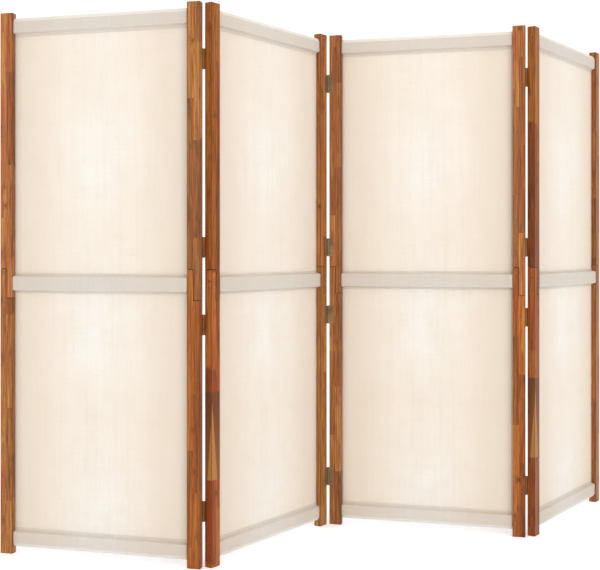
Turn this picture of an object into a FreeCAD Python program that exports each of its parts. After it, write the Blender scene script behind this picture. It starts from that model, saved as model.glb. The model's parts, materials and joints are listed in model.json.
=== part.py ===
import FreeCAD, Part
import math
import os
from collections import namedtuple

# Folding screen: four framed cloth panels that stand in a zigzag, joined by butt hinges.
# Lengths are in millimetres and angles in degrees. The screen's own frame has +X along its length,
# +Y from the front to the back and +Z up, with the origin on the floor under the middle of its box.
# A panel's own frame has x along its width from its left edge, y from its front face to its back
# and z up from the floor. Every piece is made in its panel's frame and then placed.

# The whole screen
panel_count = 4
panel_width = 700.0
screen_height = 1800.0
panel_turn = 35.1

# Posts, each of two halves joined by a lap at mid height
post_width = 44.0
post_thickness = 27.0
post_rounding = 1.0
lap_length = 98.0
lap_gap = 0.3
lap_groove = 1.0

# Rails between the posts, flat laths that the cloth wraps
outer_rail_height = 35.0
outer_rail_thickness = 12.0
middle_rail_height = 43.0
middle_rail_thickness = 16.0
rail_rounding = 2.0
top_rail_drop = 30.0
bottom_rail_rise = 36.0

# Cloth: sheet_setback is from the posts' front face to the sheet's front
cloth_thickness = 0.8
cloth_clearance = 0.3
seam_gap = 0.2
sheet_setback = 17.4
sheet_side_gap = 1.0
hem_reach = 14.0
seam_reach = 12.0
sleeve_slope = 6.0
empty_fold = 11.5

# Rail screws, driven from the posts' outer side faces, with plugs over their heads
rail_screw_radius = 2.25
rail_screw_grip = 42.0
rail_head_radius = 4.2
rail_head_height = 3.0
counterbore_depth = 12.0
outer_screw_spacing = 17.0
middle_screw_spacing = 22.0
hole_clearance = 0.05
pilot_spare = 1.0
plug_radius = 4.6
plug_end_gap = 0.5

# Butt hinges: the pins stand off the posts' side faces, further at the joint hinged in front
hinge_length = 65.0
back_pin_gap = 2.0
front_pin_gap = 3.5
leaf_width = 14.3
leaf_thickness = 1.5
knuckle_radius = 4.0
knuckle_count = 5
knuckle_gap = 0.15
knuckle_sweep_gap = 0.15
pin_radius = 1.6
pin_clearance = 0.05
pin_tip_radius = 2.6
pin_tip_height = 0.8
hinge_screw_radius = 1.5
hinge_screw_length = 16.0
hinge_head_radius = 2.8
hinge_screw_spacing = 42.0

# Hinge middles: from the top edge, above and below mid height, and from the floor
top_hinge_drop = 179.0
upper_hinge_offset = 119.5
lower_hinge_offset = 128.0
bottom_hinge_rise = 177.0

# Cross recesses in the screw heads
recess_width = 0.9
recess_depth = 0.8
recess_share = 0.6

# One overrun for every cut
overrun = 5.0

mid_height = screen_height / 2
lap_low = mid_height - lap_length / 2
lap_high = mid_height + lap_length / 2
rail_length = panel_width - 2 * post_width
rail_back = sheet_setback - cloth_clearance
hinge_heights = [
    screen_height - top_hinge_drop,
    mid_height + upper_hinge_offset,
    mid_height - lower_hinge_offset,
    bottom_hinge_rise,
]

Rail = namedtuple("Rail", "name low height thickness screw_spacing")
top_rail = Rail(
    "top_rail",
    screen_height - top_rail_drop - outer_rail_height,
    outer_rail_height,
    outer_rail_thickness,
    outer_screw_spacing,
)
middle_rail = Rail(
    "middle_rail",
    mid_height - middle_rail_height / 2,
    middle_rail_height,
    middle_rail_thickness,
    middle_screw_spacing,
)
bottom_rail = Rail(
    "bottom_rail",
    bottom_rail_rise,
    outer_rail_height,
    outer_rail_thickness,
    outer_screw_spacing,
)
rails = [top_rail, middle_rail, bottom_rail]

# A side of a panel: its outer face's x, and the sign of x from there into the panel
Side = namedtuple("Side", "name outer_x inward")
left_side = Side("left", 0, 1)
right_side = Side("right", panel_width, -1)

# A face of a panel that hinges lie on: its y, the sign of y from the face into the wood, and how far
# the pins on it stand off the posts' side faces
Face = namedtuple("Face", "y into_wood pin_gap")
front_face = Face(0, 1, front_pin_gap)
back_face = Face(post_thickness, -1, back_pin_gap)


def block(x_span, y_span, z_span):
    """Box between two x, two y and two z values, each pair in any order."""
    spans = (x_span, y_span, z_span)
    corner = FreeCAD.Vector(*[min(span) for span in spans])
    sizes = [max(span) - min(span) for span in spans]
    return Part.makeBox(*sizes, corner)


def rod(radius, start, end):
    """Round bar from one point to another."""
    run = end - start
    return Part.makeCylinder(radius, run.Length, start, run)


def taper(start_radius, end_radius, start, end):
    """Cone frustum from one point to another."""
    run = end - start
    return Part.makeCone(start_radius, end_radius, run.Length, start, run)


def prism(outline, x_span):
    """Solid between two x values over a closed outline of (y, z) points."""
    start = min(x_span)
    points = [FreeCAD.Vector(start, y, z) for y, z in outline]
    face = Part.Face(Part.makePolygon(points + points[:1]))
    return face.extrude(FreeCAD.Vector(max(x_span) - start, 0, 0))


def panel_face_of_joint(joint):
    """Joints alternate: the odd ones have their hinges on the back faces, the even ones in front."""
    return back_face if joint % 2 else front_face


def hinged_sides(panel):
    """The sides of a panel that carry hinges, each with the joint's number and the face it is on."""
    found = []
    if panel > 1:
        found.append((left_side, panel - 1, panel_face_of_joint(panel - 1)))
    if panel < panel_count:
        found.append((right_side, panel, panel_face_of_joint(panel)))
    return found


def rail_depth(rail):
    """The y of a rail's middle."""
    return rail_back - rail.thickness / 2


def rail_screw_places(rail):
    """The (y, z) of the two screws at each end of a rail."""
    middle = rail.low + rail.height / 2
    return [(rail_depth(rail), middle + sign * rail.screw_spacing / 2) for sign in (-1, 1)]


def pin_place(side, face):
    """The (x, y) of the hinge pins on one side and face of a panel."""
    return side.outer_x - side.inward * face.pin_gap, face.y - face.into_wood * knuckle_radius


def plate_span(side, face):
    """The two x values of a leaf's plate. The corner of its inner edge that is nearest to the pin
    stays clear of the other leaf's knuckles."""
    pin_x, pin_y = pin_place(side, face)
    clear_radius = knuckle_radius + knuckle_sweep_gap
    corner_rise = knuckle_radius - leaf_thickness
    start = pin_x + side.inward * math.sqrt(clear_radius**2 - corner_rise**2)
    return start, start + side.inward * leaf_width


def leaf_screw_places(side, face, height):
    """The (x, z) of the screws in one leaf: on the middle line of its plate."""
    x = sum(plate_span(side, face)) / 2
    return [(x, height + sign * hinge_screw_spacing / 2) for sign in (-1, 1)]


def hinge_screw_places(side, face):
    """The (x, z) of every hinge screw on one side and face of a panel."""
    return [place for height in hinge_heights for place in leaf_screw_places(side, face, height)]


def cross_recess(middle, into, across_1, across_2, head_radius):
    """Cross-shaped hollow in a screw head: two crossed slots, sunk from the middle of the head's face."""
    slots = []
    for along, aside in ((across_1, across_2), (across_2, across_1)):
        reach = along * (head_radius * recess_share)
        half = aside * (recess_width / 2)
        corner_1 = middle - reach - half - into * overrun
        corner_2 = middle + reach + half + into * recess_depth
        slots.append(block(*zip(corner_1, corner_2)))
    return slots


def rail_screw(side, y, z):
    """Round-headed screw through a post into a rail's end, with its head in the counterbore."""
    into = FreeCAD.Vector(side.inward, 0, 0)
    outer = FreeCAD.Vector(side.outer_x, y, z)
    seat = outer + into * counterbore_depth
    head_face = seat - into * rail_head_height
    tip = outer + into * (post_width + rail_screw_grip)
    shape = rod(rail_head_radius, head_face, seat).fuse(rod(rail_screw_radius, seat, tip))
    recess = cross_recess(
        head_face, into, FreeCAD.Vector(0, 1, 0), FreeCAD.Vector(0, 0, 1), rail_head_radius
    )
    return shape.cut(recess)


def rail_screw_hole(side, y, z):
    """The bore for a rail screw: shank hole through post and rail end, and the counterbore."""
    into = FreeCAD.Vector(side.inward, 0, 0)
    outer = FreeCAD.Vector(side.outer_x, y, z)
    seat = outer + into * counterbore_depth
    end = outer + into * (post_width + rail_screw_grip + pilot_spare)
    shank = rod(rail_screw_radius + hole_clearance, seat - into * pilot_spare, end)
    counterbore = rod(plug_radius + hole_clearance, outer - into * overrun, seat)
    return shank.fuse(counterbore)


def screw_plug(side, y, z):
    """Wooden plug, flush with the post's side face, that ends just short of the screw head."""
    into = FreeCAD.Vector(side.inward, 0, 0)
    outer = FreeCAD.Vector(side.outer_x, y, z)
    length = counterbore_depth - rail_head_height - plug_end_gap
    return rod(plug_radius, outer, outer + into * length)


def hinge_screw(face, x, z):
    """Countersunk screw, flush with the leaf, that goes through it into the post."""
    into = FreeCAD.Vector(0, face.into_wood, 0)
    top = FreeCAD.Vector(x, face.y, z) - into * leaf_thickness
    neck = top + into * (hinge_head_radius - hinge_screw_radius)
    tip = FreeCAD.Vector(x, face.y, z) + into * hinge_screw_length
    head = taper(hinge_head_radius, hinge_screw_radius, top, neck)
    recess = cross_recess(
        top, into, FreeCAD.Vector(1, 0, 0), FreeCAD.Vector(0, 0, 1), hinge_head_radius
    )
    return head.fuse(rod(hinge_screw_radius, neck, tip)).cut(recess)


def hinge_screw_hole(face, x, z):
    """The countersunk hole in the leaf and the pilot hole in the post for a hinge screw."""
    into = FreeCAD.Vector(0, face.into_wood, 0)
    top = FreeCAD.Vector(x, face.y, z) - into * leaf_thickness
    neck = top + into * (hinge_head_radius - hinge_screw_radius)
    end = FreeCAD.Vector(x, face.y, z) + into * (hinge_screw_length + pilot_spare)
    sink = taper(hinge_head_radius + hole_clearance, hinge_screw_radius + hole_clearance, top, neck)
    mouth = rod(hinge_head_radius + hole_clearance, top - into * leaf_thickness, top)
    shank = rod(hinge_screw_radius + hole_clearance, top, end)
    return sink.fuse([mouth, shank])


def groove(start, end):
    """Square bar with its corners lap_groove off its middle line, which runs along X, Y or Z."""
    run = end - start
    axes = (FreeCAD.Vector(1, 0, 0), FreeCAD.Vector(0, 1, 0), FreeCAD.Vector(0, 0, 1))
    reach_1, reach_2 = [axis * lap_groove for axis in axes if axis.dot(run) == 0]
    corners = [start + reach_1, start + reach_2, start - reach_1, start - reach_2]
    return Part.Face(Part.makePolygon(corners + corners[:1])).extrude(run)


def lap_grooves(left_x, middle_x, right_x):
    """V grooves along the seams of a post's lap: down the middle of both faces, and level at the
    lap's top on the left and at its bottom on the right."""
    bars = []
    for y in (0, post_thickness):
        bars.append(groove(FreeCAD.Vector(middle_x, y, lap_low), FreeCAD.Vector(middle_x, y, lap_high)))
        bars.append(groove(FreeCAD.Vector(left_x, y, lap_high), FreeCAD.Vector(middle_x, y, lap_high)))
        bars.append(groove(FreeCAD.Vector(middle_x, y, lap_low), FreeCAD.Vector(right_x, y, lap_low)))
    for x, z in ((left_x, lap_high), (right_x, lap_low)):
        bars.append(groove(FreeCAD.Vector(x, 0, z), FreeCAD.Vector(x, post_thickness, z)))
    return bars


def post_halves(panel, side):
    """The lower and the upper half of a post: each has a tongue beside the other's in the lap."""
    inner_x = side.outer_x + side.inward * post_width
    middle_x = (side.outer_x + inner_x) / 2
    x_span = (side.outer_x, inner_x)
    blank = block(x_span, (0, post_thickness), (0, screen_height))
    blank = blank.makeFillet(post_rounding, blank.Edges)
    holes = [rail_screw_hole(side, y, z) for rail in rails for y, z in rail_screw_places(rail)]
    for hinge_side, joint, face in hinged_sides(panel):
        if hinge_side is side:
            holes += [hinge_screw_hole(face, x, z) for x, z in hinge_screw_places(side, face)]
    blank = blank.cut(holes + lap_grooves(min(x_span), middle_x, max(x_span)))
    left_x = min(x_span) - overrun
    right_x = max(x_span) + overrun
    y_span = (-overrun, post_thickness + overrun)
    half_gap = lap_gap / 2
    lower_room = block((left_x, right_x), y_span, (-overrun, lap_low - half_gap)).fuse(
        block((left_x, middle_x - half_gap), y_span, (-overrun, lap_high - half_gap))
    )
    upper_end = screen_height + overrun
    upper_room = block((left_x, right_x), y_span, (lap_high + half_gap, upper_end)).fuse(
        block((middle_x + half_gap, right_x), y_span, (lap_low + half_gap, upper_end))
    )
    return blank.common(lower_room), blank.common(upper_room)


def rail_shape(rail):
    """Flat lath with rounded long edges that butts against both posts."""
    shape = block(
        (post_width, post_width + rail_length),
        (rail_back - rail.thickness, rail_back),
        (rail.low, rail.low + rail.height),
    )
    long_edges = [
        edge for edge in shape.Edges if abs(edge.tangentAt(edge.FirstParameter).x) > math.cos(math.pi / 4)
    ]
    shape = shape.makeFillet(rail_rounding, long_edges)
    holes = [
        rail_screw_hole(side, y, z)
        for side in (left_side, right_side)
        for y, z in rail_screw_places(rail)
    ]
    return shape.cut(holes)


def layer(path, thickness):
    """Closed outline of a cloth layer: a path of (y, z) points and its offset to the path's left."""
    normals = []
    for (y_1, z_1), (y_2, z_2) in zip(path, path[1:]):
        run = math.hypot(y_2 - y_1, z_2 - z_1)
        normals.append(((z_1 - z_2) / run, (y_2 - y_1) / run))
    befores = normals[:1] + normals
    afters = normals + normals[-1:]
    offset = []
    for (y, z), (a_y, a_z), (b_y, b_z) in zip(path, befores, afters):
        mitre = thickness / (1 + a_y * b_y + a_z * b_z)
        offset.append((y + mitre * (a_y + b_y), z + mitre * (a_z + b_z)))
    return path + offset[::-1]


def cloth_span():
    """The two x values that the cloth lies between, clear of both posts."""
    side = post_width + sheet_side_gap
    return (side, panel_width - side)


def sleeve_front(rail):
    """The y of the inner side of the cloth in front of a rail."""
    return rail_back - rail.thickness - cloth_clearance


def cloth_panel():
    """The sheet with a sleeve at each end: the cloth goes round the rail, empties into a fold
    beyond it, comes down its front and back to the sheet, and ends in a hem sewn on the sheet."""
    hem_y = sheet_setback - seam_gap
    front_y = sleeve_front(top_rail)
    fold_y = (front_y + sheet_setback) / 2
    top_low = top_rail.low - cloth_clearance
    top_high = top_rail.low + top_rail.height + cloth_clearance
    bottom_low = bottom_rail.low - cloth_clearance
    bottom_high = bottom_rail.low + bottom_rail.height + cloth_clearance
    path = [
        (hem_y, top_low - hem_reach),
        (hem_y, top_low - sleeve_slope),
        (front_y, top_low),
        (front_y, top_high),
        (fold_y, top_high + empty_fold),
        (sheet_setback, top_high),
        (sheet_setback, bottom_low),
        (fold_y, bottom_low - empty_fold),
        (front_y, bottom_low),
        (front_y, bottom_high),
        (hem_y, bottom_high + sleeve_slope),
        (hem_y, bottom_high + hem_reach),
    ]
    return prism(layer(path, cloth_thickness), cloth_span())


def middle_sleeve():
    """Strip of cloth over the front of the middle rail, with its two long edges sewn on the sheet."""
    seam_y = sheet_setback - seam_gap
    front_y = sleeve_front(middle_rail)
    low = middle_rail.low - cloth_clearance
    high = middle_rail.low + middle_rail.height + cloth_clearance
    path = [
        (seam_y, low - seam_reach),
        (seam_y, low - sleeve_slope),
        (front_y, low),
        (front_y, high),
        (seam_y, high + sleeve_slope),
        (seam_y, high + seam_reach),
    ]
    return prism(layer(path, cloth_thickness), cloth_span())


def hinge_leaf(side, face, height, knuckles):
    """One leaf: a plate on the post's face, and its share of the knuckles round the pin.
    Each knuckle is a bored barrel, tangent to the face's plane, that the plate runs into."""
    pin_x, pin_y = pin_place(side, face)
    plate_y = (face.y - face.into_wood * leaf_thickness, face.y)
    plate_start, plate_end = plate_span(side, face)
    low = height - hinge_length / 2
    step = hinge_length / knuckle_count
    shape = block((plate_start, plate_end), plate_y, (low, low + hinge_length))
    for number in knuckles:
        knuckle_low = low + number * step
        knuckle_high = knuckle_low + step
        if number > 0:
            knuckle_low += knuckle_gap / 2
        if number < knuckle_count - 1:
            knuckle_high -= knuckle_gap / 2
        bottom = FreeCAD.Vector(pin_x, pin_y, knuckle_low)
        top = FreeCAD.Vector(pin_x, pin_y, knuckle_high)
        neck = block((pin_x, plate_end), plate_y, (knuckle_low, knuckle_high))
        shape = shape.fuse([rod(knuckle_radius, bottom, top), neck])
    bore_low = FreeCAD.Vector(pin_x, pin_y, low - overrun)
    bore_high = FreeCAD.Vector(pin_x, pin_y, low + hinge_length + overrun)
    bore = rod(pin_radius + pin_clearance, bore_low, bore_high)
    holes = [hinge_screw_hole(face, x, z) for x, z in leaf_screw_places(side, face, height)]
    return shape.removeSplitter().cut([bore] + holes)


def hinge_pin(side, face, height):
    """Hinge pin with a flat tip at each end, just outside the outer knuckles."""
    pin_x, pin_y = pin_place(side, face)
    half = hinge_length / 2
    points = [
        FreeCAD.Vector(pin_x, pin_y, height + reach)
        for reach in (-half - pin_tip_height, -half, half, half + pin_tip_height)
    ]
    tips = [
        rod(pin_tip_radius, points[0], points[1]),
        rod(pin_tip_radius, points[2], points[3]),
    ]
    return rod(pin_radius, points[0], points[3]).fuse(tips).removeSplitter()


def panel_places():
    """Each panel's turn about Z and the screen-frame place of its left front corner on the floor.
    The zigzag is chained through the pins and then centred on the screen's box."""
    turns = [panel_turn if panel % 2 == 0 else -panel_turn for panel in range(1, panel_count + 1)]

    def shift(turn, x, y):
        """Screen-frame step of a step (x, y) in a panel with this turn."""
        angle = math.radians(turn)
        return FreeCAD.Vector(
            x * math.cos(angle) - y * math.sin(angle), x * math.sin(angle) + y * math.cos(angle), 0
        )

    corners = [FreeCAD.Vector(0, 0, 0)]
    for joint in range(1, panel_count):
        face = panel_face_of_joint(joint)
        pin = corners[-1] + shift(turns[joint - 1], *pin_place(right_side, face))
        corners.append(pin - shift(turns[joint], *pin_place(left_side, face)))
    outline = [
        corner + shift(turn, x, y)
        for corner, turn in zip(corners, turns)
        for x in (0, panel_width)
        for y in (0, post_thickness)
    ]
    middle_x = (min(point.x for point in outline) + max(point.x for point in outline)) / 2
    middle_y = (min(point.y for point in outline) + max(point.y for point in outline)) / 2
    centre = FreeCAD.Vector(middle_x, middle_y, 0)
    up = FreeCAD.Vector(0, 0, 1)
    return [
        FreeCAD.Placement(corner - centre, FreeCAD.Rotation(up, turn))
        for corner, turn in zip(corners, turns)
    ]


def write(name, shapes, place):
    """Write the solids of one piece, or of a group of like pieces, at a panel's place."""
    solids = [solid for shape in shapes for solid in shape.Solids]
    node = solids[0] if len(solids) == 1 else Part.makeCompound(solids)
    node.Placement = place.multiply(node.Placement)
    node.exportStep(os.path.join("parts", name + ".step"))


def write_panel(panel, place):
    """All the pieces of one panel's frame and cloth."""
    prefix = f"panel_{panel}_"
    screws = []
    plugs = []
    for side in (left_side, right_side):
        lower, upper = post_halves(panel, side)
        write(f"{prefix}post_{side.name}_lower", [lower], place)
        write(f"{prefix}post_{side.name}_upper", [upper], place)
        for rail in rails:
            for y, z in rail_screw_places(rail):
                screws.append(rail_screw(side, y, z))
                plugs.append(screw_plug(side, y, z))
    for rail in rails:
        write(prefix + rail.name, [rail_shape(rail)], place)
    write(prefix + "cloth", [cloth_panel()], place)
    write(prefix + "middle_sleeve", [middle_sleeve()], place)
    write(prefix + "rail_screws", screws, place)
    write(prefix + "screw_plugs", plugs, place)


def write_hinges(panel, place):
    """The hinge pieces that a panel carries: the left panel of a joint holds the pins."""
    for side, joint, face in hinged_sides(panel):
        prefix = f"joint_{joint}_{joint + 1}_"
        of_left_panel = side is right_side
        knuckles = range(0 if of_left_panel else 1, knuckle_count, 2)
        part_name = "left" if of_left_panel else "right"
        leaves = [hinge_leaf(side, face, height, knuckles) for height in hinge_heights]
        write(f"{prefix}leaves_{part_name}", leaves, place)
        screws = [hinge_screw(face, x, z) for x, z in hinge_screw_places(side, face)]
        write(f"{prefix}screws_{part_name}", screws, place)
        if of_left_panel:
            pins = [hinge_pin(side, face, height) for height in hinge_heights]
            write(f"{prefix}pins", pins, place)


os.makedirs("parts", exist_ok=True)
for panel, place in enumerate(panel_places(), start=1):
    write_panel(panel, place)
    write_hinges(panel, place)
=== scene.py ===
import json
import math

import bpy
import numpy as np
from bpy.props import FloatProperty, FloatVectorProperty, IntProperty, PointerProperty
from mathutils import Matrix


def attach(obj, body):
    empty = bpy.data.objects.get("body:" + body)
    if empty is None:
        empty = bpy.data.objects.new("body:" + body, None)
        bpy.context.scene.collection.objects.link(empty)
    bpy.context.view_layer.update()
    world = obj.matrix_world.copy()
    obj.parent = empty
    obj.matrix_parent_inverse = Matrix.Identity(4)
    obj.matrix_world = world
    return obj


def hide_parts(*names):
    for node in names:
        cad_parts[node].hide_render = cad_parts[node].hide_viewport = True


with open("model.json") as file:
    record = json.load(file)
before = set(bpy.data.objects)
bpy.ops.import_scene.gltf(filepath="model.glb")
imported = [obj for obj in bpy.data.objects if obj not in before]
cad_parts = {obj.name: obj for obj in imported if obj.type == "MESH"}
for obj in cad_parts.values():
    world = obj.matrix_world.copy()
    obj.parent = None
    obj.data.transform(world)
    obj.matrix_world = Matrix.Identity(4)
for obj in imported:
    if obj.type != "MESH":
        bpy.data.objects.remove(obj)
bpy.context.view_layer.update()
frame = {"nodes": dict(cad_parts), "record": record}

bl_info = {
    "name": "Folding screen",
    "version": (1, 0, 0),
    "blender": (4, 5, 0),
    "location": "3D View > Sidebar > Folding screen",
    "description": "Cloth, wood, hinges and studio of a folding screen with four panels",
    "category": "Object",
}

PANELS = (1, 2, 3, 4)
SIDES = ("left", "right")
HALVES = ("lower", "upper")

# Millimetres in a panel's own frame: x from its left edge, y from its front face, z from the floor
PANEL_WIDTH = 700.0
POST_WIDTH = 44.0
POST_DEPTH = 27.0
# Width of the painted shade along the posts' rounded edges, in millimetres
EDGE_SHADE_WIDTH = 3.0
LAP = (851.0, 949.0)
CLOTH_SIDES = (45.0, 655.0)
CLOTH_THICKNESS = 0.8
SHEET_Y = 17.8
HEM_Y = 16.8
OUTER_FRONT_Y = 4.4
MIDDLE_FRONT_Y = 0.4
TOP_RAIL = (1735.0, 1770.0)
MIDDLE_RAIL = (878.5, 921.5)
BOTTOM_RAIL = (36.0, 71.0)
SLEEVE_SLOPE = 6.0
HEM_REACH = 14.0
SEAM_REACH = 12.0
EMPTY_FOLD = 11.5

# Distances between the points of the cloth's surfaces: on arcs, along its path, along the middle of a
# sheet, and how far from its rails that middle begins; and how many columns go across
ARC_STEP = 0.6
PATH_STEP = 2.5
COARSE_STEP = 14.0
FINE_REACH = 40.0
CLOTH_COLUMNS = 122

# The height of one patch of painted glow, where the sheets are brightest, and the distance to the next
PATCH_HEIGHT = 1328.0
PATCH_SPACING = 590.0

# The left posts of two panels have a dark board with a pale wedge. The wedge's middle line moves
# across the post by the lean for each millimetre of depth.
WEDGE_PANELS = (2, 4)
WEDGE_BOARD = (278.0, 559.0)
WEDGE_TIP = 523.0
WEDGE_MIDDLE = 4.0
WEDGE_HALF_WIDTH = 26.0
WEDGE_LEAN = 1.24

# How far each kind of piece's boards are shifted along its grain, in millimetres
POST_BOARD_STEP = 61.0
RAIL_BOARD_SHIFT = 40.0
PLUG_BOARD_SHIFT = 15.0
POST_STAVE_OFFSET = 3.0

# The wood of single post halves, as shares of the usual red, green and blue
EVEN_SHADE = (1.0, 1.0, 1.0)
POST_SHADES = {
    (1, "left", "lower"): (0.93, 0.95, 0.94),
    (1, "left", "upper"): (0.93, 0.87, 1.0),
    (1, "right", "lower"): (0.91, 0.76, 0.48),
    (1, "right", "upper"): (0.96, 1.0, 1.0),
    (2, "left", "lower"): (0.84, 0.60, 0.44),
    (2, "left", "upper"): (0.70, 0.56, 0.36),
    (2, "right", "lower"): (0.88, 0.94, 0.96),
    (2, "right", "upper"): (0.93, 0.96, 1.0),
    (3, "left", "lower"): (0.94, 0.97, 0.95),
    (3, "left", "upper"): (0.95, 0.92, 0.95),
    (3, "right", "lower"): (0.88, 0.72, 0.46),
    (4, "left", "lower"): (0.82, 0.62, 0.46),
    (4, "left", "upper"): (0.76, 0.62, 0.42),
}

# Hinges on the posts' backs get painted shade and a painted brown reflection of the wood around them: shares
# of the brass's red, green and blue
BACK_HINGE_PAINTED_SHADE = (0.92, 0.74, 0.52)

# Sewing stitches in millimetres: the thread's radius, how far it rises and sinks, and the share of a
# stitch's length that the thread covers
THREAD_RADIUS = 0.24
THREAD_RISE = 0.32
THREAD_SINK = 0.12
THREAD_SHARE = 0.82
STITCH_INSET = 3.0

# The camera's place in metres, its turn about the upright axis in degrees, and its shift
CAMERA_PLACE = (-1.65596, -3.60093, 1.0205)
CAMERA_TURN = -19.06
CAMERA_SHIFT = (0.1012, -0.0633)


def linear(red, green, blue):
    """A display colour of 0 to 255 as scene light: each part to the power 2.4 above its short
    straight toe."""
    part = np.array((red, green, blue)) / 255
    return tuple(np.where(part > 0.04045, ((part + 0.055) / 1.055) ** 2.4, part / 12.92).tolist())


class ClothSettings(bpy.types.PropertyGroup):
    colour: FloatVectorProperty(
        name="Cloth", description="Colour of the cloth's threads", subtype="COLOR", min=0, max=1,
        default=linear(241, 233, 222),
    )
    # Painted glow: the colour of the light let through the middle of a sheet and through the empty folds
    painted_glow_colour: FloatVectorProperty(
        name="Bright middle", description="Colour where the cloth is thinnest, in the middle of a sheet",
        subtype="COLOR", min=0, max=1, default=linear(243, 242, 238),
    )
    # Painted shade: the darker, warmer colour of the posts' shade on the cloth, also used for the rails'
    # shade
    painted_shade_colour: FloatVectorProperty(
        name="Edges", description="Colour of the cloth close to the posts", subtype="COLOR", min=0, max=1,
        default=linear(222, 210, 197),
    )
    slub_colour: FloatVectorProperty(
        name="Slubs", description="Colour of the thick threads in the weave", subtype="COLOR", min=0, max=1,
        default=linear(230, 216, 198),
    )
    thread_colour: FloatVectorProperty(
        name="Sewing thread", description="Colour of the stitches", subtype="COLOR", min=0, max=1,
        default=linear(226, 211, 190),
    )
    light_through: FloatProperty(
        name="Light through", description="Share of the light that passes through the cloth",
        subtype="FACTOR", min=0, max=0.9, default=0.42,
    )
    thread_pitch: FloatProperty(
        name="Thread pitch", description="Distance between neighbouring threads of the weave",
        unit="LENGTH", min=0.0003, max=0.003, default=0.0009,
    )
    ripple: FloatProperty(
        name="Ripple", description="Height of the sheet's soft waves", unit="LENGTH", min=0, max=0.003,
        default=0.0007,
    )
    pucker: FloatProperty(
        name="Pucker", description="Height of the small gathers along the seams", unit="LENGTH", min=0,
        max=0.001, default=0.0004,
    )
    stitch_length: FloatProperty(
        name="Stitch", description="Length of one stitch with its gap", unit="LENGTH", min=0.002, max=0.008,
        default=0.0036,
    )


class WoodSettings(bpy.types.PropertyGroup):
    golden: FloatVectorProperty(
        name="Golden wood", description="Lightest of the posts' wood tones", subtype="COLOR", min=0, max=1,
        default=linear(184, 128, 66),
    )
    reddish: FloatVectorProperty(
        name="Reddish wood", description="Middle of the posts' wood tones", subtype="COLOR", min=0, max=1,
        default=linear(152, 92, 46),
    )
    brown: FloatVectorProperty(
        name="Brown wood", description="Darkest of the posts' wood tones", subtype="COLOR", min=0, max=1,
        default=linear(104, 62, 34),
    )
    red: FloatVectorProperty(
        name="Red streaks", description="Colour of the reddest streaks in the posts' wood", subtype="COLOR",
        min=0, max=1, default=linear(156, 72, 42),
    )
    olive: FloatVectorProperty(
        name="Olive streaks", description="Colour of the greenish golden streaks in the posts' wood",
        subtype="COLOR", min=0, max=1, default=linear(160, 118, 56),
    )
    rail_colour: FloatVectorProperty(
        name="Rail wood", description="Colour of the rails inside the cloth", subtype="COLOR", min=0, max=1,
        default=linear(206, 168, 122),
    )
    ring_spacing: FloatProperty(
        name="Growth rings", description="Distance between growth rings", unit="LENGTH", min=0.001, max=0.02,
        default=0.0055,
    )
    board_length: FloatProperty(
        name="Board length", description="Length of the short boards that each post is glued up from",
        unit="LENGTH", min=0.1, max=2.0, default=0.31,
    )
    stave_width: FloatProperty(
        name="Stave width", description="Width of the staves that each post is glued up from",
        unit="LENGTH", min=0.01, max=0.1, default=0.025,
    )
    knot_spacing: FloatProperty(
        name="Knots", description="Usual distance between knots inside the wood", unit="LENGTH", min=0.03,
        max=0.5, default=0.05,
    )
    seed: IntProperty(name="Seed", description="Number that places grain and knots", min=0, default=7)


class MetalSettings(bpy.types.PropertyGroup):
    brass: FloatVectorProperty(
        name="Brass", description="Colour of the hinges where they are rubbed", subtype="COLOR", min=0, max=1,
        default=linear(152, 121, 88),
    )
    patina: FloatVectorProperty(
        name="Patina", description="Colour of the hinges where they are dulled", subtype="COLOR", min=0,
        max=1, default=linear(110, 84, 57),
    )
    steel: FloatVectorProperty(
        name="Steel", description="Colour of the rail screws", subtype="COLOR", min=0, max=1,
        default=linear(184, 186, 190),
    )


class StudioSettings(bpy.types.PropertyGroup):
    floor_colour: FloatVectorProperty(
        name="Floor", description="Colour of the floor", subtype="COLOR", min=0, max=1,
        default=linear(246, 249, 255),
    )
    ambient: FloatProperty(
        name="Ambient", description="Strength of the even light from all sides", min=0, max=3, default=0.92,
    )
    key_power: FloatProperty(
        name="Key light", description="Power of the large light in front", unit="POWER", min=0,
        max=2000, default=58,
    )
    left_power: FloatProperty(
        name="Left light", description="Power of the large light at the front left", unit="POWER", min=0,
        max=2000, default=37,
    )
    right_power: FloatProperty(
        name="Right light", description="Power of the large light at the front right", unit="POWER",
        min=0, max=2000, default=21,
    )
    top_power: FloatProperty(
        name="Top light", description="Power of the large light overhead", unit="POWER", min=0, max=2000,
        default=36,
    )
    focal_length: FloatProperty(
        name="Focal length", description="Focal length of the camera on a 36 mm sensor", unit="CAMERA",
        min=20, max=200, default=67.17,
    )


class Socket:
    """A node's output that takes part in arithmetic: each operation adds a Math node and gives its output."""

    def __init__(self, tree, socket):
        self.tree = tree
        self.socket = socket

    def math(self, operation, *others):
        values = {place: value for place, value in enumerate((self, *others))}
        return self.tree.add("ShaderNodeMath", {"operation": operation}, values)

    def reflected(self, operation, other):
        return self.tree.add("ShaderNodeMath", {"operation": operation}, {0: other, 1: self})

    def __add__(self, other):
        return self.math("ADD", other)

    def __radd__(self, other):
        return self.reflected("ADD", other)

    def __sub__(self, other):
        return self.math("SUBTRACT", other)

    def __rsub__(self, other):
        return self.reflected("SUBTRACT", other)

    def __mul__(self, other):
        return self.math("MULTIPLY", other)

    def __rmul__(self, other):
        return self.reflected("MULTIPLY", other)

    def __truediv__(self, other):
        return self.math("DIVIDE", other)

    def __abs__(self):
        return self.math("ABSOLUTE")

    def step(self, low, high):
        """Smooth change from 0 at low to 1 at high, or from 1 to 0 where low is the larger."""
        start, end, first, last = (low, high, 0.0, 1.0) if low < high else (high, low, 1.0, 0.0)
        return self.tree.add(
            "ShaderNodeMapRange",
            {"interpolation_type": "SMOOTHSTEP"},
            {"Value": self, "From Min": start, "From Max": end, "To Min": first, "To Max": last},
        )


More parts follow.
